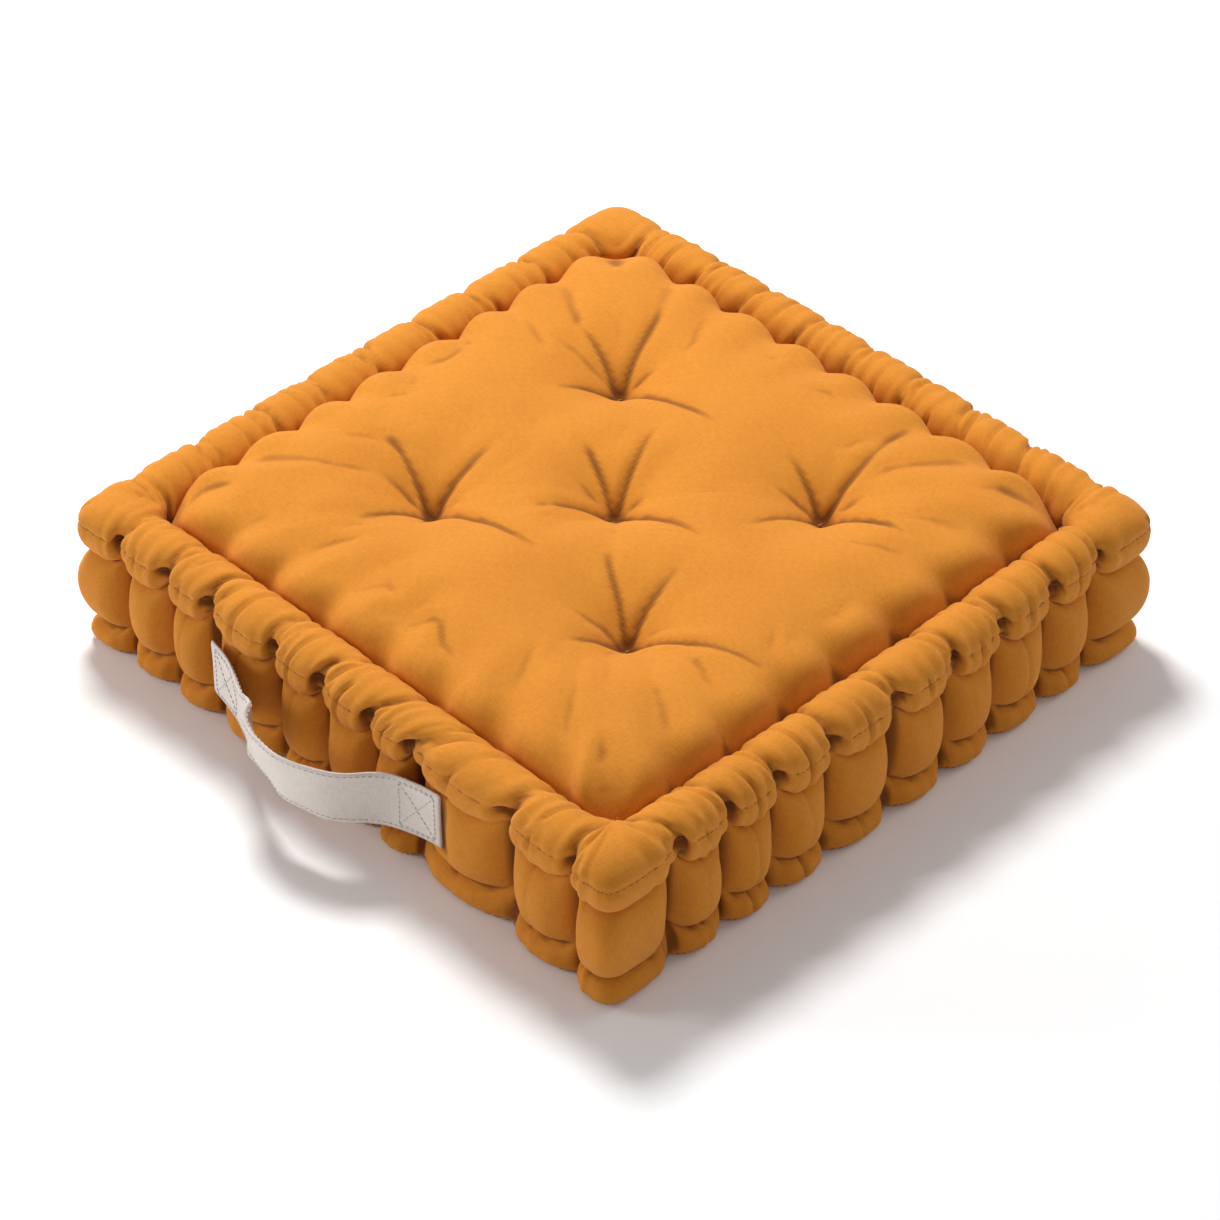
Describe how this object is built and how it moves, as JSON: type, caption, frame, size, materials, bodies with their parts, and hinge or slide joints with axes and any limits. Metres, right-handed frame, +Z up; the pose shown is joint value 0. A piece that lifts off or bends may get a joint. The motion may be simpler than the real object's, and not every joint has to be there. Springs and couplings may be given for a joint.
{
  "type": "floor cushion",
  "caption": "Square mattress-tufted cotton floor cushion with stitched edge rolls, a quincunx of tufts and an off-white canvas carrying handle sewn to one side.",
  "frame": {"origin": "on the floor, under the middle of the whole box, handle loop included", "axes": "+Z up from the floor, -Y out of the side that carries the handle, +X to the right when facing that side"},
  "size_m": [0.45, 0.4912, 0.108],
  "materials": {
    "cotton": "matte ochre cotton canvas, fine plain weave",
    "cotton_thread": "matte ochre cotton thread and twine",
    "fibre_filling": "loose off-white fibre",
    "canvas": "matte off-white cotton canvas",
    "canvas_thread": "off-white sewing thread"
  },
  "bodies": {
    "cushion": {"top_panel": "cotton", "bottom_panel": "cotton", "side_band": "cotton", "core_filling": "fibre_filling", "top_roll_filling": "fibre_filling", "bottom_roll_filling": "fibre_filling", "top_seam_thread": "cotton_thread", "bottom_seam_thread": "cotton_thread", "top_roll_twine": "cotton_thread", "bottom_roll_twine": "cotton_thread", "tuft_twine_centre": "cotton_thread", "tuft_twine_front_left": "cotton_thread", "tuft_twine_front_right": "cotton_thread", "tuft_twine_back_left": "cotton_thread", "tuft_twine_back_right": "cotton_thread", "handle_end_left": "canvas", "handle_end_right": "canvas", "handle_stitch_left": "canvas_thread", "handle_stitch_right": "canvas_thread"},
    "handle": {"handle_loop": "canvas"}
  },
  "joints": [
    {"name": "handle_swing", "type": "hinge", "parent": "cushion", "child": "handle", "pos_m": [0, -0.22565, 0.049], "axis": [-1, 0, 0], "range_deg": [0, 70]}
  ]
}
